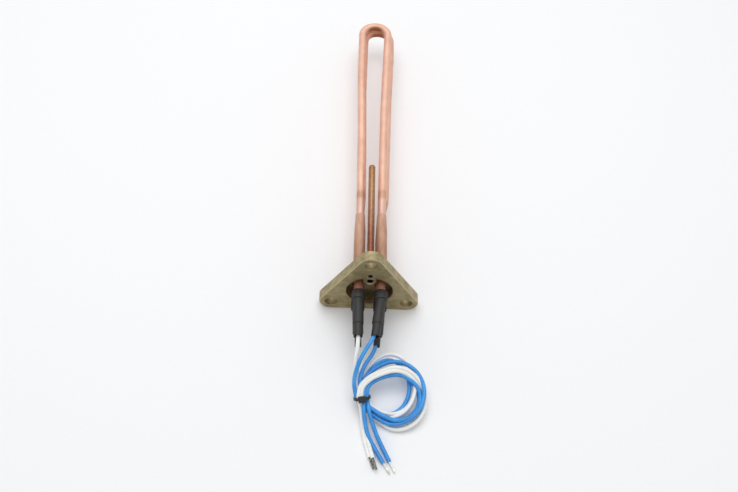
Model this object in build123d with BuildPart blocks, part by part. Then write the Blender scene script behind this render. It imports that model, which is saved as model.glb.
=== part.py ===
from build123d import *
import os
from math import cos, degrees, pi, radians, sin, tan

# Immersion heating element: two copper-sheathed U-tubes and a sensor pocket, brazed into a
# three-bolt brass flange, with sleeved terminals and four leads tied in a loop.
# Millimetres. The origin is the centre of the flange's sealing face, +Y runs along the tubes
# into the tank and +Z is up. The terminals and leads are on the -Y side.

# Flange: three round corners on a bolt circle, a deep terminal recess and a rear spigot
bolt_circle = 65.0
bolt_count = 3
first_bolt_angle = 90.0
bolt_hole = 9.5
corner_radius = 9.0
plate_thickness = 7.5
face_chamfer = 0.6
rim_chamfer = 0.35
rim_angle = 90.0
recess_diameter = 34.8
recess_depth = 9.5
spigot_diameter = 42.0
spigot_length = 5.0
spigot_chamfer = 0.8
lobe_radius = 4.2
earth_hole = 3.3
earth_hole_depth = 6.0
earth_hole_height = 20.2

# Sensor pocket: a closed tube in the lobe of the recess
pocket_height = 12.7
pocket_diameter = 5.2
pocket_wall = 0.5
pocket_reach = 101.5
pocket_mouth = 6.4

# Heating tubes, their cold-end sleeves and what the tubes hold
leg_spacing = 16.4
row_spacing = 14.0
sheath_diameter = 6.5
sheath_wall = 0.6
sheath_overhang = 16.5
immersed_length = 270.0
far_row_spacing = 7.5
far_bend_radius = 10.9
gentle_bend_radius = 300.0
set_over_radius = 50.0
set_over_share = 0.12
cold_sleeve_diameter = 8.5
cold_sleeve_proud = 2.0
cold_sleeve_straight = 41.0
cold_sleeve_end = 56.5
cold_sleeve_tip = 7.3
cold_length = 58.0
first_bend_run = 8.0
coil_envelope = 3.0
pin_diameter = 1.8
pin_bend_radius = 24.0
seal_depth = 4.0
seal_head = 1.2

# Terminals: crimped splices under two layers of stepped sleeving, measured from the sealing face
# as far as the step, and from the step along the terminal's own lean beyond it
cover_start = 12.5
cover_step = 19.7
cover_neck = 20.1
cover_end_upper = 30.3
cover_end_lower = 22.2
cover_sizes = (9.9, 7.8, 6.6)
liner_sizes = (8.2, 6.2, 4.8)
liner_inset = 0.8
liner_mouth = 3.8
liner_end_upper = 24.3
liner_end_lower = 30.3
shoulder_wall = 1.0
lean_overlap = 2.5
crimp_diameter = 4.2
crimp_start = 1.5
crimp_length = 16.5
crimp_chamfer = 0.3
pin_grip = 8.0
conductor_grip = 7.0

# Leads, their coil and the tie
lead_diameter = 3.0
lead_arc_share = 0.45
conductor_diameter = 1.8
bare_length = 8.0
bare_diameters = {"white": 2.2, "blue": 1.8}
lead_start = 22.3
coil_place = (16.8, -80.5)
coil_radius = 21.5
coil_section = 11.6
coil_tilt = 12.7
coil_rest_gap = 0.1
tie_angle = 200.0
tie_width = 3.8
tie_thickness = 1.1
tie_head = (4.6, 4.2, 3.0)
tie_head_angle = 75.0
tie_stub = (3.2, 2.4, 1.2)

# Clearances
braze_gap = 0.05
slip_gap = 0.02

# Levels and places that follow from the sizes above
floor_level = -(bolt_circle / 4 + corner_radius)
recess_floor = recess_depth - plate_thickness
leg_x = leg_spacing / 2
leg_z = row_spacing / 2
sheath_bore = sheath_diameter - 2 * sheath_wall
far_axis = immersed_length - sheath_diameter / 2
first_bend = cold_length + first_bend_run
front_plane = Plane.XZ.offset(plate_thickness)
coil_rise = coil_radius * sin(radians(coil_tilt))
coil_height = floor_level + coil_rest_gap + coil_section / 2 + coil_rise
coil_normal = (0, -sin(radians(coil_tilt)), cos(radians(coil_tilt)))
coil_plane = Plane(origin=(*coil_place, coil_height), x_dir=(1, 0, 0), z_dir=coil_normal)

# Bends of each tube, out along the left leg and back: x, and how far along from the first bend
# to the far end, as a share
upper_bends = [(-8.9, 0.41), (-10.1, 0.69), (-10.0, 1.0), (12.6, 1.0), (9.4, 0.49)]
lower_bends = [
    (-7.0, 0.1),
    (-7.6, 0.34),
    (-8.7, 0.64),
    (-7.7, 1.0),
    (14.7, 1.0),
    (14.5, 0.83),
    (12.9, 0.61),
    (11.6, 0.26),
    (11.2, 0.075),
]

# Routes of the leads, chosen by hand: from the first point outside the sleeve to the tie, and
# from the tie to where the insulation stops
lead_routes = {
    "white_upper": [(-7.6, -54.0, 6.4), (-9.4, -63.6, -2.0), (-9.8, -75.0, -11.6), (-5.2, -86.0, -16.4)],
    "white_lower": [(-7.1, -54.0, -7.9), (-7.6, -66.0, -13.0), (-6.6, -78.0, -18.0), (-3.2, -88.0, -19.0)],
    "blue_upper": [(4.3, -53.0, 6.9), (-4.6, -65.0, 3.4), (-9.9, -76.6, -4.2), (-6.6, -87.0, -12.5)],
    "blue_lower": [(5.9, -52.5, -7.1), (-2.4, -64.0, -8.9), (-5.6, -76.0, -12.2), (-2.4, -87.0, -14.6)],
}
lead_tails = {
    "white_upper": [(-5.0, -90.0, -17.4), (-4.4, -102.6, -21.0), (-2.3, -115.8, -23.3), (2.0, -128.2, -23.6)],
    "white_lower": [(-1.4, -90.0, -18.6), (-0.8, -103.0, -22.2), (1.1, -116.2, -23.6), (5.5, -128.4, -23.6)],
    "blue_upper": [
        (-2.9, -91.0, -13.8),
        (-1.3, -102.0, -16.8),
        (1.4, -113.0, -19.8),
        (7.0, -122.6, -22.2),
        (12.3, -132.1, -23.3),
    ],
    "blue_lower": [
        (0.6, -91.0, -13.8),
        (2.9, -101.6, -16.6),
        (6.8, -111.9, -20.0),
        (11.6, -121.2, -22.6),
        (16.5, -130.9, -23.4),
    ],
}

# Each terminal: the side and the row of its tube's end
terminal_sides = {"white_upper": (-1, 1), "white_lower": (-1, -1), "blue_upper": (1, 1), "blue_lower": (1, -1)}

finished = {}


def finish(name, builder):
    """Label a finished piece and write it out under the same name."""
    builder.part.label = name
    finished[name] = builder.part
    export_step(builder.part, f"parts/{name}.step")


def tube_route(bends, row, start):
    """Points of a U-tube: both ends at y = start, closing in towards the middle along its length."""
    reach = far_axis - first_bend
    drop = (row_spacing - far_row_spacing) / 2
    inner = [(x, first_bend + share * reach, row * (leg_z - share * drop)) for x, share in bends]
    ends = [(-leg_x, start, row * leg_z), (-leg_x, first_bend, row * leg_z)]
    back = [(leg_x, first_bend, row * leg_z), (leg_x, start, row * leg_z)]
    return ends + inner + back


def tube_radii(bends, row):
    """Bend radii of a U-tube: tight at the far end, medium where the lower one is set over."""
    near_radius = set_over_radius if row < 0 else gentle_bend_radius
    radii = []
    for share in [0, *(share for _, share in bends), 0]:
        if share == 1:
            radii.append(far_bend_radius)
        elif share < set_over_share:
            radii.append(near_radius)
        else:
            radii.append(gentle_bend_radius)
    return radii


def cord_radii(points):
    """Arc radii of a cord's route: each as large as its two runs allow."""
    radii = []
    for before, corner, after in zip(points, points[1:], points[2:]):
        arriving = Vector(corner) - Vector(before)
        leaving = Vector(after) - Vector(corner)
        half_turn = radians(arriving.get_angle(leaving)) / 2
        radii.append(lead_arc_share * min(arriving.length, leaving.length) / tan(half_turn))
    return radii


def plane_along(start, towards):
    """Plane at start whose normal points at towards."""
    return Plane(origin=start, z_dir=Vector(towards) - Vector(start))


os.makedirs("parts", exist_ok=True)

# Flange: the plate is built back from its front face, the spigot forward into the tank
with BuildPart(front_plane) as flange:
    with BuildSketch(front_plane):
        with PolarLocations(bolt_circle / 2, bolt_count, start_angle=first_bolt_angle):
            Circle(corner_radius)
        make_hull()
    extrude(amount=-plate_thickness)
    with BuildSketch(Plane.XZ):
        Circle(spigot_diameter / 2)
    extrude(amount=-spigot_length)
    spigot_rim = flange.faces().sort_by(Axis.Y)[-1].outer_wire().edges()
    chamfer(spigot_rim, length=spigot_chamfer)
    front_face = flange.faces().sort_by(Axis.Y)[0]
    chamfer(front_face.outer_wire().edges(), length=face_chamfer)
    with PolarLocations(bolt_circle / 2, bolt_count, start_angle=first_bolt_angle):
        rim = bolt_hole / 2 + rim_chamfer
        CounterSinkHole(bolt_hole / 2, rim, plate_thickness, counter_sink_angle=rim_angle)
    with BuildSketch(front_plane):
        Circle(recess_diameter / 2)
        with Locations((0, pocket_height)):
            Circle(lobe_radius, mode=Mode.SUBTRACT)
            lobe_neck = (2 * lobe_radius, recess_diameter / 2)
            Rectangle(*lobe_neck, align=(Align.CENTER, Align.MIN), mode=Mode.SUBTRACT)
    extrude(amount=-recess_depth, mode=Mode.SUBTRACT)
    with GridLocations(leg_spacing, row_spacing, 2, 2):
        Hole(cold_sleeve_diameter / 2 + braze_gap, depth=plate_thickness + spigot_length)
    with Locations((0, pocket_height)):
        CounterSinkHole(
            pocket_diameter / 2 + braze_gap,
            pocket_mouth / 2,
            depth=plate_thickness + spigot_length,
            counter_sink_angle=rim_angle,
        )
    with Locations((0, earth_hole_height)):
        Hole(earth_hole / 2, depth=earth_hole_depth)
finish("flange", flange)

# Sensor pocket: half its section, turned about its own axis, closed by a round tip
pocket_start = -plate_thickness + pocket_mouth / 2 - pocket_diameter / 2 - braze_gap
with BuildPart() as sensor_pocket:
    with BuildSketch(Plane.XY.offset(pocket_height)):
        with BuildLine():
            outer = pocket_diameter / 2
            bore = outer - pocket_wall
            dome = pocket_reach - outer
            Polyline((bore, dome), (bore, pocket_start), (outer, pocket_start), (outer, dome))
            CenterArc((0, dome), outer, 0, 90)
            Line((0, dome + outer), (0, dome + bore))
            CenterArc((0, dome), bore, 0, 90)
        make_face()
    revolve(axis=Axis((0, 0, pocket_height), (0, 1, 0)))
finish("sensor_pocket", sensor_pocket)

# Heating tubes: each a copper sheath, the packed powder in it and the wound coil's envelope
for name, row, bends in (("upper", 1, upper_bends), ("lower", -1, lower_bends)):
    sheath_points = tube_route(bends, row, -sheath_overhang)
    fill_points = tube_route(bends, row, seal_depth - sheath_overhang)
    coil_points = tube_route(bends, row, cold_length)
    radii = tube_radii(bends, row)
    with BuildPart() as sheath:
        with BuildLine():
            FilletPolyline(sheath_points, radius=radii)
        with BuildSketch(plane_along(*sheath_points[:2])):
            Circle(sheath_diameter / 2)
            Circle(sheath_bore / 2, mode=Mode.SUBTRACT)
        sweep()
    finish(f"{name}_heating_tube", sheath)

    with BuildPart() as resistance_coil:
        with BuildLine():
            FilletPolyline(coil_points, radius=radii)
        with BuildSketch(plane_along(*coil_points[:2])):
            Circle(coil_envelope / 2)
        sweep()
    finish(f"{name}_resistance_coil", resistance_coil)

    with BuildPart() as powder_fill:
        with BuildLine():
            FilletPolyline(fill_points, radius=radii)
        with BuildSketch(plane_along(*fill_points[:2])):
            Circle(sheath_bore / 2 - slip_gap)
        sweep()
        with BuildLine():
            FilletPolyline(coil_points, radius=radii)
        with BuildSketch(plane_along(*coil_points[:2])):
            Circle(coil_envelope / 2 + slip_gap)
        sweep(mode=Mode.SUBTRACT)
        with BuildSketch(Plane.XZ.offset(-cold_length)):
            with Locations((-leg_x, row * leg_z), (leg_x, row * leg_z)):
                Circle(pin_diameter / 2 + slip_gap)
        extrude(amount=cold_length + sheath_overhang, mode=Mode.SUBTRACT)
    finish(f"{name}_powder_fill", powder_fill)

# Coil of leads: one closed ring of the bundle's outer size, leaning on the surface
with BuildPart(coil_plane) as lead_coil:
    Torus(coil_radius, coil_section / 2)
finish("lead_coil", lead_coil)

# Tie: a band round the bundle with its head and the short end that sticks out of it
coil_axis = Axis(coil_plane.origin, coil_plane.z_dir)


def coil_section_plane(angle):
    """Plane across the bundle at an angle round the coil: x points outwards, y upwards."""
    across = Vector(cos(radians(angle)), sin(radians(angle)), 0)
    centre = coil_plane.from_local_coords(across * coil_radius)
    outward = (centre - coil_plane.origin).normalized()
    return Plane(origin=centre, x_dir=outward, z_dir=outward.cross(coil_plane.z_dir))


tie_turn = degrees(tie_width / coil_radius)
tie_inside = coil_section / 2 + slip_gap
tie_outside = tie_inside + tie_thickness
head_base = tie_inside + tie_thickness / 2
tie_plane = coil_section_plane(tie_angle)
head_x = cos(radians(tie_head_angle))
head_y = sin(radians(tie_head_angle))
head_out = tie_plane.x_dir * head_x + tie_plane.y_dir * head_y
head_plane = Plane(origin=tie_plane.origin, x_dir=head_out, z_dir=tie_plane.z_dir)
with BuildPart() as tie:
    with BuildSketch(coil_section_plane(tie_angle - tie_turn / 2)):
        Circle(tie_outside)
        Circle(tie_inside, mode=Mode.SUBTRACT)
    revolve(axis=coil_axis, revolution_arc=tie_turn)
    with BuildSketch(head_plane):
        with Locations((head_base, 0)):
            Rectangle(tie_head[2], tie_head[1], align=(Align.MIN, Align.CENTER))
    extrude(amount=tie_head[0] / 2, both=True)
    with BuildSketch(head_plane):
        with Locations((tie_outside, -tie_head[1] / 2)):
            Rectangle(tie_stub[2], tie_stub[0], align=(Align.MIN, Align.MAX))
    extrude(amount=tie_stub[1] / 2, both=True)
finish("tie", tie)

# Terminals: one set for each end of the two tubes
for name, (side, row) in terminal_sides.items():
    leg = (side * leg_x, 0, row * leg_z)
    rear_plane = Plane(origin=leg, x_dir=(1, 0, 0), z_dir=(0, 1, 0))
    mouth_plane = Plane(origin=leg, x_dir=(1, 0, 0), z_dir=(0, -1, 0))
    hinge_point = mouth_plane.offset(cover_step).origin
    lean_plane = plane_along(hinge_point, lead_routes[name][0])
    upper = row > 0

    with BuildPart(rear_plane.offset(recess_floor - cold_sleeve_proud)) as cold_sleeve:
        straight = cold_sleeve_straight - recess_floor + cold_sleeve_proud
        swaged = cold_sleeve_end - cold_sleeve_straight
        base = (Align.CENTER, Align.CENTER, Align.MIN)
        Cylinder(cold_sleeve_diameter / 2, straight, align=base)
        with Locations((0, 0, straight)):
            Cone(cold_sleeve_diameter / 2, cold_sleeve_tip / 2, swaged, align=base)
        with BuildSketch(rear_plane.offset(recess_floor - cold_sleeve_proud)):
            Circle(sheath_diameter / 2 + slip_gap)
        extrude(amount=straight + swaged, mode=Mode.SUBTRACT)
    finish(f"{name}_cold_sleeve", cold_sleeve)

    with BuildPart(mouth_plane.offset(sheath_overhang - seal_depth)) as end_seal:
        with BuildSketch(mouth_plane.offset(sheath_overhang - seal_depth)):
            Circle(sheath_bore / 2 - slip_gap)
        extrude(amount=seal_depth)
        with BuildSketch(mouth_plane.offset(sheath_overhang)):
            Circle(sheath_diameter / 2)
        extrude(amount=seal_head)
        Hole(pin_diameter / 2 + slip_gap)
    finish(f"{name}_end_seal", end_seal)

    pin_points = [
        tuple(mouth_plane.offset(-cold_length).origin),
        tuple(hinge_point),
        tuple(lean_plane.offset(crimp_start + pin_grip).origin),
    ]
    with BuildPart() as terminal_pin:
        with BuildLine():
            FilletPolyline(pin_points, radius=pin_bend_radius)
        with BuildSketch(plane_along(*pin_points[:2])):
            Circle(pin_diameter / 2)
        sweep()
    finish(f"{name}_terminal_pin", terminal_pin)

    with BuildPart(lean_plane.offset(crimp_start)) as splice_crimp:
        with BuildSketch(lean_plane.offset(crimp_start)):
            Circle(crimp_diameter / 2)
            Circle(pin_diameter / 2 + slip_gap, mode=Mode.SUBTRACT)
        extrude(amount=crimp_length)
        chamfer(splice_crimp.edges().filter_by(GeomType.CIRCLE).group_by(SortBy.RADIUS)[-1], length=crimp_chamfer)
    finish(f"{name}_splice_crimp", splice_crimp)

    # Outer cover: straight over the tube's end, then leaning with the lead
    cover_end = cover_end_upper if upper else cover_end_lower
    liner_end = liner_end_upper if upper else liner_end_lower
    liner_step = cover_step - shoulder_wall
    liner_neck = cover_neck - shoulder_wall
    back_plane = lean_plane.offset(-lean_overlap)
    with BuildPart(mouth_plane.offset(cover_start)) as terminal_cover:
        with BuildSketch(mouth_plane.offset(cover_start)):
            Circle(cover_sizes[0] / 2)
        extrude(amount=cover_step - cover_start)
        with BuildSketch(back_plane):
            Circle(cover_sizes[1] / 2)
        extrude(amount=lean_overlap + cover_neck)
        with BuildSketch(lean_plane.offset(cover_neck)):
            Circle(cover_sizes[2] / 2)
        extrude(amount=cover_end - cover_neck)
        with BuildSketch(mouth_plane.offset(cover_start)):
            Circle(liner_sizes[0] / 2 + slip_gap)
        extrude(amount=liner_step + slip_gap - cover_start, mode=Mode.SUBTRACT)
        with BuildSketch(back_plane):
            Circle(liner_sizes[1] / 2 + slip_gap)
        extrude(amount=lean_overlap + liner_neck + slip_gap, mode=Mode.SUBTRACT)
        with BuildSketch(back_plane):
            Circle(liner_sizes[2] / 2 + slip_gap)
        extrude(amount=lean_overlap + cover_end, mode=Mode.SUBTRACT)
    finish(f"{name}_terminal_cover", terminal_cover)

    # Inner liner: grips the tube's end, the crimp and, loosely, the lead
    with BuildPart(mouth_plane.offset(cover_start + liner_inset)) as terminal_liner:
        with BuildSketch(mouth_plane.offset(cover_start + liner_inset)):
            Circle(liner_sizes[0] / 2)
        extrude(amount=liner_step - cover_start - liner_inset)
        with BuildSketch(back_plane):
            Circle(liner_sizes[1] / 2)
        extrude(amount=lean_overlap + liner_neck)
        with BuildSketch(lean_plane.offset(liner_neck)):
            Circle(liner_sizes[2] / 2)
        extrude(amount=liner_end - liner_neck)
        with BuildSketch(mouth_plane.offset(cover_start + liner_inset)):
            Circle(sheath_diameter / 2 + slip_gap)
        seal_end = sheath_overhang + seal_head + slip_gap
        extrude(amount=seal_end - cover_start - liner_inset, mode=Mode.SUBTRACT)
        with BuildSketch(back_plane):
            Circle(crimp_diameter / 2 + slip_gap)
        extrude(amount=lean_overlap + crimp_start + crimp_length + slip_gap, mode=Mode.SUBTRACT)
        with BuildSketch(back_plane):
            Circle(liner_mouth / 2)
        extrude(amount=lean_overlap + liner_end, mode=Mode.SUBTRACT)
    finish(f"{name}_terminal_liner", terminal_liner)

    # Lead up to the coil, with the stripped end that its crimp holds
    route = [tuple(lean_plane.offset(lead_start).origin)] + lead_routes[name]
    radii = cord_radii(route)
    print(name, "lead radii", [round(radius, 1) for radius in radii])
    with BuildPart() as lead:
        with BuildLine() as lead_path:
            FilletPolyline(route, radius=radii)
        with BuildSketch(plane_along(*route[:2])):
            Circle(lead_diameter / 2)
        sweep()
        section_by_length = pi * (lead_diameter / 2) ** 2 * lead_path.wire().length
        print(name, "lead", round(lead_path.wire().length, 1), "long, volume", round(lead.part.volume, 1))
        print("    section times length", round(section_by_length, 1))
        stub = lead_start - crimp_start - crimp_length + conductor_grip
        with BuildSketch(lean_plane.offset(lead_start)):
            Circle(conductor_diameter / 2)
        extrude(amount=-stub)
        add(finished["lead_coil"], mode=Mode.SUBTRACT)
        add(finished["tie"], mode=Mode.SUBTRACT)
    finish(f"{name}_lead", lead)

    # Lead beyond the tie, and its bare end
    route = lead_tails[name]
    radii = cord_radii(route)
    print(name, "tail radii", [round(radius, 1) for radius in radii])
    with BuildPart() as tail:
        with BuildLine() as tail_path:
            FilletPolyline(route, radius=radii)
        with BuildSketch(plane_along(*route[:2])):
            Circle(lead_diameter / 2)
        sweep()
        section_by_length = pi * (lead_diameter / 2) ** 2 * tail_path.wire().length
        print(name, "tail", round(tail_path.wire().length, 1), "long, volume", round(tail.part.volume, 1))
        print("    section times length", round(section_by_length, 1))
        add(finished["lead_coil"], mode=Mode.SUBTRACT)
        add(finished["tie"], mode=Mode.SUBTRACT)
    finish(f"{name}_tail", tail)

    colour = name.split("_")[0]
    bare_plane = Plane(origin=route[-1], z_dir=Vector(route[-1]) - Vector(route[-2]))
    with BuildPart(bare_plane) as bare_end:
        with BuildSketch(bare_plane):
            Circle(bare_diameters[colour] / 2)
        extrude(amount=bare_length)
    finish(f"{name}_bare_end", bare_end)
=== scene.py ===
import math

import bmesh
import bpy
from mathutils import Matrix, Quaternion, Vector


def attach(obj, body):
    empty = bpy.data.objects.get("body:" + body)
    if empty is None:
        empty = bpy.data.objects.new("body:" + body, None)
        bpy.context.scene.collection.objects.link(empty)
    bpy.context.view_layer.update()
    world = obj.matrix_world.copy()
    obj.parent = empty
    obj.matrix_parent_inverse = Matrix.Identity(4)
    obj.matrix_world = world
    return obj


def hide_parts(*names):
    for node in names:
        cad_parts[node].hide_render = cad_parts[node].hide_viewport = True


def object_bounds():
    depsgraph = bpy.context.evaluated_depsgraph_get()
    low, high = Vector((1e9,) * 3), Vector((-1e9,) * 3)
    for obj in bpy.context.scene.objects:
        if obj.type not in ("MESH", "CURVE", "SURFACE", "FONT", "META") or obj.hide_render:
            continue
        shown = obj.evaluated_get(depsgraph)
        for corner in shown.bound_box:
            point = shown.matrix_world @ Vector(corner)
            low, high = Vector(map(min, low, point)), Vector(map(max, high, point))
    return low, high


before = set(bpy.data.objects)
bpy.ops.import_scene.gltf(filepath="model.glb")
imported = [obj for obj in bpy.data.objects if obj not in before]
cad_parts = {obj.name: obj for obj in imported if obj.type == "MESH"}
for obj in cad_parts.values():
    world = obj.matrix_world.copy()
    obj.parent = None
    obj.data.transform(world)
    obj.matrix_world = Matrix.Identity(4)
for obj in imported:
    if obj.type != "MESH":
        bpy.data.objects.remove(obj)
cad_low, cad_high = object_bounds()

# Camera: in front of the terminals, looking down along the heater from about three quarters of a
# metre, with a 50 mm lens on a 36 mm wide sensor and turned a little about its own axis.
mm = 0.001
camera_place = Vector((-18.8, -410.37, 641.77)) * mm
camera_azimuth = math.radians(2.31)
camera_drop = math.radians(55.34)
camera_roll = math.radians(3.88)
looking = Vector((
    math.sin(camera_azimuth) * math.cos(camera_drop),
    math.cos(camera_azimuth) * math.cos(camera_drop),
    -math.sin(camera_drop),
))
camera = bpy.data.objects.new("camera", bpy.data.cameras.new("camera"))
camera.data.lens = 50.0
camera.data.sensor_width = 36.0
camera.location = camera_place
camera.rotation_mode = "QUATERNION"
camera.rotation_quaternion = looking.to_track_quat("-Z", "Y") @ Quaternion((0, 0, 1), camera_roll)
bpy.context.scene.collection.objects.link(camera)
bpy.context.scene.camera = camera


# Leads: four stranded wires in braided insulation, two white and two blue. Each leaves its black
# cover, enters the tie, runs twice round the loop and leaves through the tie again. They take the
# place of the CAD's leads, tails and closed loop.
lead_diameter = 3.0 * mm
tie_place = Vector((-3.4, -87.67, -16.2)) * mm
tie_angle = math.radians(200.0)
tie_outward = Vector((math.cos(tie_angle), math.sin(tie_angle), 0.0))
points_per_turn = 14
near_angle = math.radians(55.0)
right_angle = math.radians(160.0)
far_angle = math.radians(250.0)
arriving_angle = math.radians(100.0)
spline_reach = 1.025
throat_run = Vector((4.4, -6.0, 0.0)) * mm
throat_share = 0.6
ring_radius = 3.95 * mm
core_radius = 1.7 * mm
leg_half_spacing = 8.2 * mm
row_half_spacing = 7.0 * mm
lean_start = 19.7 * mm
lead_start = 22.3 * mm

# Places of the leads in the tie: nine in an outer ring and three in the middle, each with its
# distance from the tie's middle and its angle from outwards
ring = [(ring_radius, 40.0 * place) for place in range(9)]
core = [(core_radius, 90.0 + 120.0 * place) for place in range(3)]

# Each turn of the loop: its left, right, far and near edges, then its height where it is near,
# right and far
outer_blue = (-0.5, 40.6, -60.4, -104.8, -20.4, -12.6, -9.0)
inner_blue = (4.5, 38.2, -70.4, -102.8, -17.0, -15.6, -10.2)
rear_blue = (1.0, 30.3, -56.8, -96.2, -21.8, -18.0, -14.4)
under_blue = (3.0, 37.2, -68.5, -102.0, -20.2, -18.8, -12.4)
rear_white = (-2.0, 34.4, -53.0, -99.6, -20.8, -15.0, -11.8)
under_white = (1.0, 33.4, -56.0, -97.4, -18.0, -21.0, -17.2)
first_white = (2.5, 41.6, -66.2, -107.2, -23.6, -17.0, -6.4)
second_white = (4.0, 39.6, -68.8, -103.5, -23.4, -19.6, -7.0)

leads = {
    "white_upper": {
        "length": 0.374,
        "side": (-1, 1),
        "route": [(-7.3, -54.0, 6.4), (-8.7, -64.2, -2.2), (-9.4, -75.0, -11.6)],
        "places": (ring[7], ring[8], ring[1]),
        "turns": (rear_white, first_white),
        "tail": [
            (-3.6, -94.5, -17.0), (-2.6, -103.6, -21.0),
            (-1.2, -115.8, -23.4), (2.9, -128.2, -23.5),
        ],
    },
    "white_lower": {
        "length": 0.337,
        "side": (-1, -1),
        "route": [(-7.1, -54.0, -7.9), (-7.6, -66.0, -13.0), (-6.0, -78.0, -20.4)],
        "places": (ring[5], ring[6], ring[2]),
        "turns": (under_white, second_white),
        "tail": [
            (-2.2, -94.5, -17.2), (-0.6, -103.0, -20.0),
            (0.8, -116.2, -21.4), (5.0, -129.4, -21.6),
        ],
    },
    "blue_upper": {
        "length": 0.365,
        "side": (1, 1),
        "route": [(3.8, -50.5, 6.9), (-2.0, -58.8, 4.3), (-6.6, -66.5, -0.8), (-10.2, -77.6, -8.4)],
        "places": (ring[0], core[2], ring[3]),
        "turns": (outer_blue, under_blue),
        "tail": [
            (-2.4, -94.5, -14.0), (-1.5, -102.0, -16.8), (0.8, -113.0, -19.8),
            (6.5, -122.6, -22.2), (12.3, -132.1, -23.3),
        ],
    },
    "blue_lower": {
        "length": 0.327,
        "side": (1, -1),
        "route": [(5.9, -52.5, -7.1), (-2.4, -64.0, -8.9), (-6.2, -76.0, -12.2)],
        "places": (core[1], core[0], ring[4]),
        "turns": (rear_blue, inner_blue),
        "tail": [
            (1.0, -94.5, -14.2), (2.9, -101.6, -16.6), (6.8, -111.9, -20.0),
            (11.6, -121.2, -22.6), (16.5, -130.9, -23.4),
        ],
    },
}


def in_metres(points):
    """Vectors in metres from points in millimetres."""
    return [Vector(point) * mm for point in points]


def place_in_tie(place):
    """Point of the tie's section at a distance and an angle from its middle."""
    radius, angle = place[0], math.radians(place[1])
    return tie_place + tie_outward * radius * math.cos(angle) + Vector((0, 0, radius * math.sin(angle)))


def height_at(turned, heights):
    """Height on a turn, which changes evenly from one (angle, height) to the next."""
    for (before, low), (after, high) in zip(heights, heights[1:]):
        if turned <= after:
            return low + (high - low) * (turned - before) / (after - before)


def turn_points(turn, start, end):
    """Once round the loop: out of the tie past its throat, along an ellipse and back to the tie."""
    left, right, far, near, near_height, right_height, far_height = (size * mm for size in turn)
    half_width, half_depth = (right - left) / 2, (far - near) / 2
    middle = Vector((left + half_width, near + half_depth, 0))
    first, last = place_in_tie(start), place_in_tie(end)
    heights = [
        (0.0, first.z), (near_angle, near_height), (right_angle, right_height),
        (far_angle, far_height), (2 * math.pi, last.z),
    ]

    def on_ellipse(angle):
        reach = Vector((half_width * math.cos(angle), half_depth * math.sin(angle), 0))
        return middle + reach * spline_reach

    points = [first, tie_place + (first - tie_place) * throat_share + throat_run]
    for step in range(2, points_per_turn):
        turned = 2 * math.pi * step / points_per_turn
        point = on_ellipse(tie_angle + turned)
        to_turn = 2 * math.pi - turned
        if to_turn < arriving_angle:
            pull = math.cos(math.pi / 2 * to_turn / arriving_angle) ** 2
            point += (last - on_ellipse(tie_angle)) * pull
        points.append(point)
    for step, point in enumerate(points[1:], start=1):
        point.z = height_at(2 * math.pi * step / points_per_turn, heights)
    return points


def lead_line(lead):
    """Control points of a lead from inside its cover to where its insulation stops."""
    side, row = lead["side"]
    hinge = Vector((side * leg_half_spacing, -lean_start, row * row_half_spacing))
    route, tail = in_metres(lead["route"]), in_metres(lead["tail"])
    start = hinge + (route[0] - hinge).normalized() * lead_start
    line = [start, *route]
    for turn, places in zip(lead["turns"], zip(lead["places"], lead["places"][1:])):
        line += turn_points(turn, *places)
    return [*line, place_in_tie(lead["places"][-1]), *tail]


def node(tree, kind, inputs=(), **settings):
    """Add a node with its settings, and fill its sockets with values or links."""
    made = tree.nodes.new(kind)
    for name, value in settings.items():
        setattr(made, name, value)
    for socket, value in dict(inputs).items():
        if isinstance(value, bpy.types.NodeSocket):
            tree.links.new(value, made.inputs[socket])
        else:
            made.inputs[socket].default_value = value
    return made


def start_material(name, roughness, metallic=0.0):
    """A new material, its node tree and its shader."""
    material = bpy.data.materials.new(name)
    material.use_nodes = True
    shader = material.node_tree.nodes["Principled BSDF"]
    shader.inputs["Roughness"].default_value = roughness
    shader.inputs["Metallic"].default_value = metallic
    return material, material.node_tree, shader


def object_place(tree):
    """The place on the piece, in metres."""
    return node(tree, "ShaderNodeTexCoord").outputs["Object"]


def noise(tree, place, size, detail=3.0, roughness=0.55):
    """Noise whose blotches are about this size, in metres."""
    settings = {"Vector": place, "Scale": 1.0 / size, "Detail": detail, "Roughness": roughness}
    return node(tree, "ShaderNodeTexNoise", settings).outputs["Fac"]


def ramp(tree, factor, stops):
    """A colour ramp from (position, colour) stops."""
    made = node(tree, "ShaderNodeValToRGB", {"Fac": factor})
    elements = made.color_ramp.elements
    while len(elements) < len(stops):
        elements.new(1.0)
    for element, (position, colour) in zip(elements, stops):
        element.position = position
        element.color = (*colour, 1.0)
    return made.outputs["Color"]


def math_node(tree, operation, first, second=0.0):
    """The result of one operation on sockets or numbers."""
    return node(tree, "ShaderNodeMath", {0: first, 1: second}, operation=operation).outputs[0]


def bump(tree, shader, height, distance, strength):
    """Raise the shader's normal by a height socket, at most by this distance."""
    made = node(tree, "ShaderNodeBump", {"Height": height, "Distance": distance, "Strength": strength})
    tree.links.new(made.outputs["Normal"], shader.inputs["Normal"])


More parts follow.
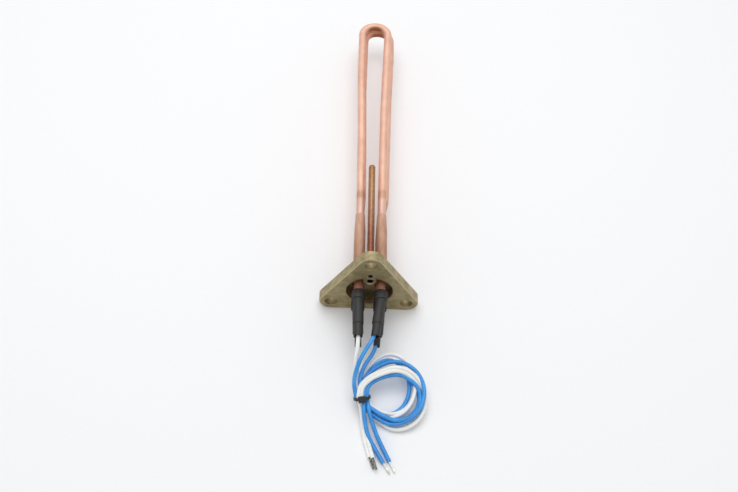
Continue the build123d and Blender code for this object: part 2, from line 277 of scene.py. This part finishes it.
def braided_insulation(name, roughness, shade, mid, tint):
    """Insulation with a fine braid: dots where its threads cross, along and round the lead."""
    usual_lead_length = 0.35
    braid_pitch = 1.25 * mm
    braid_count = 7
    braid_depth = 0.045 * mm
    weave_share, fine_share, soil_share = 0.055, 0.35, 0.65
    material, tree, shader = start_material(name, roughness)
    surface_place = node(tree, "ShaderNodeTexCoord").outputs["UV"]
    along_round = node(tree, "ShaderNodeSeparateXYZ", {0: surface_place})
    turns = 2 * math.pi * usual_lead_length / braid_pitch
    along = math_node(tree, "MULTIPLY", along_round.outputs[0], turns)
    around = math_node(tree, "MULTIPLY", along_round.outputs[1], 2 * math.pi * braid_count)
    threads = math_node(
        tree, "ADD", math_node(tree, "COSINE", along), math_node(tree, "COSINE", around)
    )
    soil = noise(tree, object_place(tree), 9 * mm)
    fine = noise(tree, object_place(tree), 0.9 * mm, detail=2.0)
    weave = math_node(tree, "MULTIPLY", threads, weave_share)
    grain = math_node(tree, "MULTIPLY", fine, fine_share)
    mixed = math_node(tree, "ADD", grain, math_node(tree, "MULTIPLY", soil, soil_share))
    factor = math_node(tree, "ADD", mixed, weave)
    colour = ramp(tree, factor, [(0.25, shade), (0.5, mid), (0.75, tint)])
    tree.links.new(colour, shader.inputs["Base Color"])
    bump(tree, shader, threads, braid_depth, 0.5)
    return material


insulation = {
    "white": braided_insulation(
        "white_insulation", 0.45, (0.80, 0.795, 0.76), (0.90, 0.897, 0.865), (0.94, 0.937, 0.91)
    ),
    "blue": braided_insulation(
        "blue_insulation", 0.31, (0.026, 0.20, 0.54), (0.034, 0.29, 0.73), (0.065, 0.40, 0.87)
    ),
}


def round_curve(name, radius, resolution):
    """An empty curve whose lines are round wires of this radius with closed ends."""
    curve = bpy.data.curves.new(name, "CURVE")
    curve.dimensions = "3D"
    curve.bevel_depth = radius
    curve.bevel_resolution = resolution
    curve.use_fill_caps = True
    return curve


def add_line(curve, points, resolution):
    """Add a smooth open line that follows these control points from the first to the last."""
    spline = curve.splines.new("NURBS")
    spline.points.add(len(points) - 1)
    for knot, point in zip(spline.points, points):
        knot.co = (*point, 1.0)
    spline.order_u = 3
    spline.use_endpoint_u = True
    spline.resolution_u = resolution


def add_piece(name, data, material):
    """Link a new piece, give it its finish and let it ride with the heater."""
    piece = bpy.data.objects.new(name, data)
    piece.data.materials.append(material)
    bpy.context.scene.collection.objects.link(piece)
    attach(piece, "root")
    return piece


lead_lines = {name: lead_line(lead) for name, lead in leads.items()}
for name, line in lead_lines.items():
    colour = name.split("_")[0]
    curve = round_curve("line", lead_diameter / 2, resolution=6)
    add_line(curve, line, resolution=6)
    lead = add_piece(f"{name}_insulation", curve, insulation[colour])
    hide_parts(f"{name}_lead", f"{name}_tail")
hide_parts("lead_coil")


# Bare ends: the last 8 mm of each lead, tinned strands twisted together, with a ring of strands round
# one or two middle ones. The white leads' ends are thicker and duller than the blue ones'.
bare_length = 8.0 * mm
tuck = 2.0 * mm
strand_lay = 11.0 * mm
points_along_strand = 12
strand_swell = 1.12
strand_length_step = 0.05
middle_strand_reach = 1.04
fray_start = 0.7
fray = 0.12


def tinned_strands(name, dark, mid, light, roughness):
    """Tinned copper with small dull blotches."""
    material, tree, shader = start_material(name, roughness, metallic=1.0)
    blotches = noise(tree, object_place(tree), 1.1 * mm, detail=4.0)
    colour = ramp(tree, blotches, [(0.3, dark), (0.5, mid), (0.68, light)])
    tree.links.new(colour, shader.inputs["Base Color"])
    bump(tree, shader, noise(tree, object_place(tree), 0.25 * mm), 0.03 * mm, 0.4)
    return material


dull_tin = ((0.08, 0.073, 0.062), (0.20, 0.19, 0.17), (0.50, 0.48, 0.45))
bright_tin = ((0.42, 0.38, 0.33), (0.72, 0.68, 0.63), (0.88, 0.86, 0.82))
strand_kinds = {
    "white": {
        "radius": 0.82 * mm,
        "ring_count": 8,
        "middle_count": 2,
        "material": tinned_strands("dull_tinned_strands", *dull_tin, 0.40),
    },
    "blue": {
        "radius": 0.56 * mm,
        "ring_count": 6,
        "middle_count": 1,
        "material": tinned_strands("bright_tinned_strands", *bright_tin, 0.30),
    },
}


def twisted_strands(start, direction, radius, ring_count, middle_count):
    """Curve of strands laid round one another, as one bundle of this radius."""
    strand_radius = radius / (1 + 1 / math.sin(math.pi / ring_count))
    outer_radius = radius - strand_radius
    middle_radius = outer_radius / 2 - strand_radius
    across = direction.orthogonal().normalized()
    upward = direction.cross(across)
    curve = round_curve("strands", strand_radius * strand_swell, resolution=3)
    outer_strands = [
        (outer_radius, 2 * math.pi * strand / ring_count, 1 + strand_length_step * (strand % 3))
        for strand in range(ring_count)
    ]
    middle_strands = [
        (middle_radius, 2 * math.pi * strand / middle_count, middle_strand_reach)
        for strand in range(middle_count)
    ]
    for from_axis, turned, reach in outer_strands + middle_strands:
        points = []
        for step in range(points_along_strand):
            share = step / (points_along_strand - 1)
            along = -tuck + share * (tuck + bare_length * reach)
            angle = turned + 2 * math.pi * along / strand_lay
            opened = fray * max(0.0, share - fray_start) / (1 - fray_start)
            spread = from_axis * (1 + opened * math.sin(3 * turned))
            offset = across * math.cos(angle) * spread + upward * math.sin(angle) * spread
            points.append(start + direction * along + offset)
        add_line(curve, points, resolution=3)
    return curve


bare_ends = {}
for name, line in lead_lines.items():
    kind = strand_kinds[name.split("_")[0]]
    direction = (line[-1] - line[-2]).normalized()
    counts = kind["ring_count"], kind["middle_count"]
    bundle = twisted_strands(line[-1], direction, kind["radius"], *counts)
    strands = add_piece(f"{name}_strands", bundle, kind["material"])
    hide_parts(f"{name}_bare_end")
    bare_ends[name] = strands


# Tie: a black nylon band pulled tight round the leads, moulded with its head. Its end sticks out of
# the head where it was cut off, and its edges are slightly rounded.
band_width = 2.2 * mm
band_thickness = 0.9 * mm
band_half_width = 5.35 * mm
band_half_height = 6.6 * mm
band_angle = math.radians(193.0)
band_lean = math.radians(-35.0)
band_steps = 72
head_place = math.radians(80.0)
head_length = 5.4 * mm
head_width = 4.6 * mm
head_height = 2.3 * mm
stub_length = 3.4 * mm
stub_width = band_width * 0.9
stub_lift = band_thickness * 1.6
sideways = Vector((math.cos(band_angle), math.sin(band_angle), 0.0))
along_leads = Quaternion(sideways, band_lean) @ Vector((0, 0, 1)).cross(sideways)
band_top = sideways.cross(along_leads)
band_place = tie_place + Vector((0, 1.2, 0)) * mm


def place_on_band(angle, height):
    """Point at a height above the band's inner side, by angle from the tie's outer side."""
    out = sideways * math.cos(angle) * (band_half_width + height)
    return band_place + out + band_top * math.sin(angle) * (band_half_height + height)


def place_block(mesh, middle, length, width, height):
    """A block on the band: its length runs round the bundle and its width along the leads."""
    outward = (middle - band_place).normalized()
    round_bundle = along_leads.cross(outward)
    axes = Matrix((round_bundle * length, along_leads * width, outward * height)).transposed().to_4x4()
    bmesh.ops.create_cube(mesh, size=1.0, matrix=Matrix.Translation(middle) @ axes)


def rounded_edges(piece, width, segments=2):
    """Join the piece's faces along their edges and round the sharp ones."""
    smallest_angle = 32.0
    weld = piece.modifiers.new("weld", "WELD")
    weld.merge_threshold = 0.002 * mm
    bevel = piece.modifiers.new("round", "BEVEL")
    bevel.width = width
    bevel.segments = segments
    bevel.limit_method = "ANGLE"
    bevel.angle_limit = math.radians(smallest_angle)
    bevel.harden_normals = True


def finish_node(name, material):
    """Give a CAD node its finish."""
    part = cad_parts[name]
    part.data.materials.clear()
    part.data.materials.append(material)
    return part


tie_material, tree, shader = start_material("black_nylon", 0.38)
grain = noise(tree, object_place(tree), 0.35 * mm, detail=3.0)
nylon = ramp(tree, grain, [(0.3, (0.006, 0.006, 0.007)), (0.7, (0.019, 0.019, 0.021))])
tree.links.new(nylon, shader.inputs["Base Color"])
bump(tree, shader, grain, 0.04 * mm, 0.35)

# Corners of the band's section, in shares of its thickness outwards and of its width sideways
section = [(0, -0.5), (0, 0.5), (1, 0.5), (1, -0.5)]
shape = bmesh.new()
loops = []
for step in range(band_steps):
    angle = 2 * math.pi * step / band_steps
    loops.append([
        shape.verts.new(place_on_band(angle, out * band_thickness) + along_leads * band_width * side)
        for out, side in section
    ])
for before, after in zip(loops, loops[1:] + loops[:1]):
    for corner in range(len(section)):
        following = (corner + 1) % len(section)
        shape.faces.new((before[corner], before[following], after[following], after[corner]))
place_block(shape, place_on_band(head_place, head_height / 2), head_length, head_width, head_height)
stub_turn = (head_length + stub_length) / 2 / (band_half_height + head_height / 2)
stub_middle = place_on_band(head_place + stub_turn, stub_lift)
place_block(shape, stub_middle, stub_length, stub_width, band_thickness)
bmesh.ops.recalc_face_normals(shape, faces=shape.faces)
for face in shape.faces:
    face.smooth = True
tie_mesh = bpy.data.meshes.new("tie_band")
shape.to_mesh(tie_mesh)
shape.free()
tie = add_piece("tie_band", tie_mesh, tie_material)
rounded_edges(tie, 0.28 * mm, segments=3)
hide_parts("tie")

pieces_on_leads = {name: [strands] for name, strands in bare_ends.items()}
pieces_on_leads["white_upper"].append(tie)


# Terminal covers and liners: black sleeving shrunk over each tube's end, crimp and lead, in two
# layers. It is matt and slightly wrinkled, and its edges are rounded.
def drawn_out(tree, place, share):
    """The place, shrunk along the heater to this share, so that noise on it comes out drawn."""
    return node(tree, "ShaderNodeMapping", {"Vector": place, "Scale": (1.0, share, 1.0)}).outputs[0]


def vary_roughness(tree, shader, factor, low, high):
    """Roughness between two values, the first where the factor is low."""
    stops = [(0.3, (low,) * 3), (0.7, (high,) * 3)]
    tree.links.new(ramp(tree, factor, stops), shader.inputs["Roughness"])


def black_sleeving(name, dark, light):
    """Matt black sleeving, wrinkled round the lead."""
    material, tree, shader = start_material(name, 0.5)
    place = object_place(tree)
    wrinkles = noise(tree, drawn_out(tree, place, 0.35), 1.6 * mm, detail=4.0)
    grain = noise(tree, place, 0.3 * mm, detail=2.0)
    tree.links.new(ramp(tree, wrinkles, [(0.3, dark), (0.7, light)]), shader.inputs["Base Color"])
    vary_roughness(tree, shader, wrinkles, 0.5, 0.66)
    height = math_node(tree, "ADD", math_node(tree, "MULTIPLY", grain, 0.25), wrinkles)
    bump(tree, shader, height, 0.14 * mm, 0.5)
    return material


cover_material = black_sleeving("black_cover_sleeving", (0.009, 0.0087, 0.0083), (0.026, 0.025, 0.024))
liner_material = black_sleeving("black_liner_sleeving", (0.005, 0.005, 0.005), (0.015, 0.0145, 0.014))
for name in leads:
    rounded_edges(finish_node(f"{name}_terminal_cover", cover_material), 0.45 * mm, segments=3)
    rounded_edges(finish_node(f"{name}_terminal_liner", liner_material), 0.25 * mm)


# Heating tubes: drawn copper, bent to U shapes. Most of each tube is bright and slightly matt from
# pickling. Next to the sleeves a pale, smooth length and a browned ring stay from the brazing. The
# inner sides of the far bends, which face the terminals, are darkened by painted shade.
def height_along(tree, place, wander=0.0, blotch=12 * mm):
    """Distance along the tubes, with an uneven edge where it is used for a border."""
    along = node(tree, "ShaderNodeSeparateXYZ", {0: place}).outputs[1]
    if not wander:
        return along
    swing = math_node(tree, "SUBTRACT", noise(tree, place, blotch, detail=2.0), 0.5)
    return math_node(tree, "ADD", along, math_node(tree, "MULTIPLY", swing, wander))


def zones(tree, along, stops):
    """Colours along the tubes, from (distance in metres, colour) stops."""
    start, end = stops[0][0], stops[-1][0]
    share = node(tree, "ShaderNodeMapRange", {
        "Value": along, "From Min": start, "From Max": end
    }).outputs[0]
    return ramp(tree, share, [((place - start) / (end - start), colour) for place, colour in stops])


def blend_colours(tree, factor, first, second, kind="MIX"):
    """The first colour, blended with the second by a factor."""
    sockets = {0: factor, 6: first, 7: second}
    return node(tree, "ShaderNodeMix", sockets, data_type="RGBA", blend_type=kind).outputs[2]


def shaded_by(tree, colours, factor, stops):
    """Colours multiplied by a ramp of a factor, for stains and streaks."""
    return blend_colours(tree, 1.0, colours, ramp(tree, factor, stops), kind="MULTIPLY")


def facing_terminals(tree):
    """1 where a surface faces the terminals' side squarely, 0 where it is edge on to it."""
    normal = node(tree, "ShaderNodeTexCoord").outputs["Normal"]
    along = node(tree, "ShaderNodeSeparateXYZ", {0: normal}).outputs[1]
    return math_node(tree, "MULTIPLY", along, -1.0)


sheath_material, tree, shader = start_material("bright_copper", 0.6, metallic=0.7)
place = object_place(tree)
bright = (0.85, 0.545, 0.425)
browned = (0.645, 0.395, 0.275)
pale = (0.76, 0.505, 0.425)
dull = (0.50, 0.24, 0.16)
along = height_along(tree, place, wander=5 * mm)
lengthwise = zones(tree, along, [
    (-20 * mm, dull), (4 * mm, dull), (50 * mm, pale), (70 * mm, pale),
    (72.5 * mm, browned), (77.5 * mm, browned), (81 * mm, bright), (270 * mm, bright),
])
streaks = noise(tree, drawn_out(tree, place, 0.06), 1.4 * mm, detail=3.0)
stains = noise(tree, place, 14 * mm, detail=4.0)
stained = shaded_by(tree, lengthwise, stains, [(0.3, (0.88, 0.85, 0.82)), (0.62, (1.0, 1.0, 1.0))])
streaked = shaded_by(tree, stained, streaks, [(0.3, (0.93, 0.915, 0.90)), (0.6, (1.0, 1.0, 1.0))])
# Painted shade: surfaces facing the terminals, chiefly the inner sides of the far bends, are darkened.
painted_shade_in_bends = shaded_by(tree, streaked, facing_terminals(tree), [
    (0.36, (1.0, 1.0, 1.0)), (0.6, (0.78, 0.68, 0.60)), (0.9, (0.40, 0.25, 0.17)),
])
tree.links.new(painted_shade_in_bends, shader.inputs["Base Color"])
vary_roughness(tree, shader, stains, 0.68, 0.56)
pickled = noise(tree, place, 0.45 * mm, detail=3.0)
surface = math_node(tree, "ADD", math_node(tree, "MULTIPLY", streaks, 0.5), pickled)
bump(tree, shader, surface, 0.035 * mm, 0.5)
for name in ("upper_heating_tube", "lower_heating_tube"):
    finish_node(name, sheath_material)


# Cold-end sleeves: short copper tubes over the sheaths, swaged down at their far end and brazed into
# the flange. The heat has left them dull brown, darkest at the flange.
sleeve_material, tree, shader = start_material("oxidised_copper", 0.6, metallic=0.5)
place = object_place(tree)
along = height_along(tree, place, wander=10 * mm, blotch=9 * mm)
lengthwise = zones(tree, along, [
    (-2 * mm, (0.29, 0.16, 0.09)), (8 * mm, (0.44, 0.245, 0.16)), (22 * mm, (0.50, 0.29, 0.20)),
    (41 * mm, (0.59, 0.36, 0.255)), (57 * mm, (0.66, 0.42, 0.32)),
])
oxide = noise(tree, drawn_out(tree, place, 0.3), 4.5 * mm, detail=3.0)
oxidised = shaded_by(tree, lengthwise, oxide, [(0.32, (0.83, 0.78, 0.74)), (0.62, (1.0, 1.0, 1.0))])
tree.links.new(oxidised, shader.inputs["Base Color"])
vary_roughness(tree, shader, oxide, 0.76, 0.64)
bump(tree, shader, noise(tree, place, 0.6 * mm, detail=4.0), 0.05 * mm, 0.5)
for name in leads:
    finish_node(f"{name}_cold_sleeve", sleeve_material)


# Sensor pocket: a thin copper tube with a round closed tip, brazed into the flange. It is golden
# brown, redder near the flange, and its dull mouth shows in the lobe of the recess. Its bore is
# painted near black as shade.
pocket_height = 12.7 * mm
pocket_bore = 4.5 * mm
pocket_bore_end = 94 * mm


def in_section(tree, place):
    """The place across the heater: its x and its height."""
    axes = node(tree, "ShaderNodeSeparateXYZ", {0: place})
    return node(tree, "ShaderNodeCombineXYZ", {0: axes.outputs[0], 1: axes.outputs[2]}).outputs[0]


def within(tree, section_place, height, radius, sideways=0.0):
    """1 inside a circle across the heater, else 0."""
    from_middle = node(tree, "ShaderNodeVectorMath", {
        0: section_place, 1: (sideways, height, 0.0)
    }, operation="DISTANCE").outputs["Value"]
    return math_node(tree, "LESS_THAN", from_middle, radius)


pocket_material, tree, shader = start_material("browned_copper", 0.38, metallic=1.0)
place = object_place(tree)
along = height_along(tree, place, wander=8 * mm)
lengthwise = zones(tree, along, [
    (-8 * mm, (0.24, 0.20, 0.12)), (-5 * mm, (0.24, 0.19, 0.11)), (4 * mm, (0.20, 0.075, 0.042)),
    (34 * mm, (0.26, 0.11, 0.065)), (60 * mm, (0.40, 0.215, 0.135)), (82 * mm, (0.45, 0.255, 0.14)),
    (102 * mm, (0.40, 0.205, 0.10)),
])
patches = noise(tree, place, 3 * mm, detail=4.0)
patched = shaded_by(tree, lengthwise, patches, [(0.3, (0.78, 0.72, 0.66)), (0.65, (1.0, 1.0, 1.0))])
section_place = in_section(tree, place)
# Painted shade: the inside of the bore is coloured near black.
bored = math_node(
    tree, "MULTIPLY", within(tree, section_place, pocket_height, pocket_bore / 2),
    math_node(tree, "LESS_THAN", along, pocket_bore_end),
)
with_bore_shade = blend_colours(tree, bored, patched, (0.03, 0.022, 0.016, 1.0))
tree.links.new(with_bore_shade, shader.inputs["Base Color"])
bump(tree, shader, noise(tree, place, 0.4 * mm, detail=3.0), 0.03 * mm, 0.4)
finish_node("sensor_pocket", pocket_material)


# Flange: one brass casting, olive from its natural skin, with a fine grainy surface. Its recess is
# darker deeper in, and the chamfers round its front face get a painted highlight.
bolt_circle = 65.0 * mm
bolt_count = 3
first_bolt_angle = math.radians(90.0)
bolt_rim = 12.0 * mm
earth_hole = 3.5 * mm
earth_hole_height = 20.2 * mm
earth_hole_end = 1.2 * mm
recess_radius = 17.6 * mm
recess_depth = 7.2 * mm
recess_darkening_depth = 4.0 * mm
flange_material, tree, shader = start_material("cast_brass", 0.5, metallic=0.6)
place = object_place(tree)
skin = noise(tree, place, 5 * mm, detail=5.0)
cast = ramp(tree, skin, [
    (0.28, (0.25, 0.20, 0.10)), (0.5, (0.342, 0.28, 0.147)), (0.72, (0.43, 0.355, 0.195)),
])
# Painted highlight: slanted faces towards the terminals, the chamfers round the front face, are
# lightened, except round the bolt holes.
painted_chamfer_highlight = ramp(tree, facing_terminals(tree), [
    (0.45, (0.0,) * 3), (0.6, (1.0,) * 3), (0.8, (1.0,) * 3), (0.92, (0.0,) * 3),
])
section_place = in_section(tree, place)
for turn in range(bolt_count):
    angle = first_bolt_angle + 2 * math.pi * turn / bolt_count
    across, height = bolt_circle / 2 * math.cos(angle), bolt_circle / 2 * math.sin(angle)
    at_hole = within(tree, section_place, height, bolt_rim / 2, sideways=across)
    painted_chamfer_highlight = math_node(tree, "MULTIPLY", painted_chamfer_highlight, math_node(tree, "SUBTRACT", 1.0, at_hole))
with_chamfer_highlight = blend_colours(tree, painted_chamfer_highlight, cast, (0.47, 0.40, 0.24, 1.0))
along = height_along(tree, place)
# Painted shade: the inside of the earth hole is coloured near black.
in_earth_hole = math_node(
    tree, "MULTIPLY", within(tree, section_place, earth_hole_height, earth_hole / 2),
    math_node(tree, "LESS_THAN", along, -earth_hole_end),
)
with_earth_hole_shade = blend_colours(tree, in_earth_hole, with_chamfer_highlight, (0.03, 0.025, 0.016, 1.0))
# Inside the recess the brass darkens with depth over its first 4 mm and stays dark below.
inside = within(tree, section_place, 0.0, recess_radius)
deep = node(tree, "ShaderNodeMapRange", {
    "Value": along, "From Min": -recess_depth, "From Max": -recess_depth + recess_darkening_depth
}).outputs[0]
darker_in_recess = blend_colours(
    tree, math_node(tree, "MULTIPLY", inside, deep), with_earth_hole_shade,
    ramp(tree, skin, [(0.3, (0.20, 0.15, 0.08)), (0.7, (0.40, 0.31, 0.17))])
)
tree.links.new(darker_in_recess, shader.inputs["Base Color"])
vary_roughness(tree, shader, skin, 0.58, 0.42)
sand = noise(tree, place, 0.55 * mm, detail=4.0, roughness=0.65)
pits = noise(tree, place, 2.2 * mm, detail=3.0)
bump(tree, shader, math_node(tree, "ADD", sand, math_node(tree, "MULTIPLY", pits, 0.8)), 0.11 * mm, 0.6)
finish_node("flange", flange_material)


# Pieces held inside: packed magnesia, resistance coils, steel pins, tinned crimps and red seals. They
# are closed in, and each has the finish that it would show with the tube cut open.
def plain_finish(name, dark, light, roughness, grain_size, metallic=0.0):
    """A grainy finish between two colours."""
    material, tree, shader = start_material(name, roughness, metallic)
    grain = noise(tree, object_place(tree), grain_size, detail=4.0)
    tree.links.new(ramp(tree, grain, [(0.3, dark), (0.7, light)]), shader.inputs["Base Color"])
    bump(tree, shader, grain, 0.05 * mm, 0.5)
    return material


inner_finishes = {
    "powder_fill": plain_finish(
        "packed_magnesia", (0.72, 0.72, 0.68), (0.86, 0.86, 0.83), 0.9, 0.4 * mm
    ),
    "resistance_coil": plain_finish(
        "coil_wire", (0.20, 0.19, 0.18), (0.34, 0.33, 0.31), 0.45, 0.8 * mm, metallic=1.0
    ),
    "end_seal": plain_finish("seal_rubber", (0.27, 0.035, 0.02), (0.36, 0.06, 0.035), 0.6, 0.7 * mm),
    "terminal_pin": plain_finish(
        "pin_steel", (0.38, 0.38, 0.38), (0.52, 0.52, 0.52), 0.35, 0.8 * mm, metallic=1.0
    ),
    "splice_crimp": plain_finish(
        "tinned_crimp", (0.50, 0.50, 0.48), (0.66, 0.66, 0.64), 0.35, 0.9 * mm, metallic=1.0
    ),
}
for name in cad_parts:
    for ending, material in inner_finishes.items():
        if name.endswith(ending):
            finish_node(name, material)


# Floor: a pale matt sheet at the level of the flange's lower edge. It keeps the heater's shadow.
floor_half_width = 4.0
floor_level = cad_low.z
floor_mesh = bpy.data.meshes.new("floor")
corners = [(-1, -1), (1, -1), (1, 1), (-1, 1)]
floor_mesh.from_pydata(
    [(x * floor_half_width, y * floor_half_width, floor_level) for x, y in corners], [], [(0, 1, 2, 3)]
)
floor = bpy.data.objects.new("floor", floor_mesh)
floor_material, tree, shader = start_material("pale_sheet", 0.85)
fibres = noise(tree, object_place(tree), 2 * mm, detail=2.0)
sheet = ramp(tree, fibres, [(0.3, (0.925, 0.93, 0.94)), (0.7, (0.935, 0.94, 0.95))])
tree.links.new(sheet, shader.inputs["Base Color"])
shader.inputs["Specular IOR Level"].default_value = 0.1
floor_mesh.materials.append(floor_material)
bpy.context.scene.collection.objects.link(floor)


# Light: one large soft lamp steeply above and slightly behind the heater, and pale surroundings that
# are a little darker near the horizon.
lamp_direction = Vector((-0.06, 0.2, 1.0)).normalized()
lamp_distance = 1.25
lamp_width = 1.2
lamp_power = 8.1
aim = (cad_low + cad_high) / 2
lamp = bpy.data.objects.new("soft_lamp", bpy.data.lights.new("soft_lamp", "AREA"))
lamp.data.shape = "DISK"
lamp.data.size = lamp_width
lamp.data.energy = lamp_power
lamp.location = aim + lamp_direction * lamp_distance
lamp.rotation_mode = "QUATERNION"
lamp.rotation_quaternion = (-lamp_direction).to_track_quat("-Z", "Y")
bpy.context.scene.collection.objects.link(lamp)

ambient_strength = 0.64
world = bpy.data.worlds.new("pale_room")
bpy.context.scene.world = world
world.use_nodes = True
tree = world.node_tree
tree.nodes.clear()
rays = node(tree, "ShaderNodeLightPath")
direction = node(tree, "ShaderNodeTexCoord").outputs["Generated"]
upward = node(tree, "ShaderNodeSeparateXYZ", {0: direction}).outputs[2]
reflected = ramp(tree, upward, [(0.0, (0.56,) * 3), (0.3, (0.74,) * 3), (0.8, (1.0,) * 3)])
backdrop = blend_colours(tree, rays.outputs["Is Camera Ray"], reflected, (0.93, 0.935, 0.945, 1.0))
seen_directly = math_node(
    tree, "MAXIMUM", rays.outputs["Is Camera Ray"],
    math_node(tree, "MAXIMUM", rays.outputs["Is Glossy Ray"], rays.outputs["Is Transmission Ray"]),
)
ambient = node(tree, "ShaderNodeBackground", {
    "Color": (0.99, 0.995, 1.0, 1.0), "Strength": ambient_strength
})
surroundings = node(tree, "ShaderNodeBackground", {"Color": backdrop, "Strength": 1.0})
chosen = node(tree, "ShaderNodeMixShader", {
    0: seen_directly, 1: ambient.outputs[0], 2: surroundings.outputs[0]
})
node(tree, "ShaderNodeOutputWorld", {"Surface": chosen.outputs[0]})

bpy.context.scene.view_settings.view_transform = "Standard"
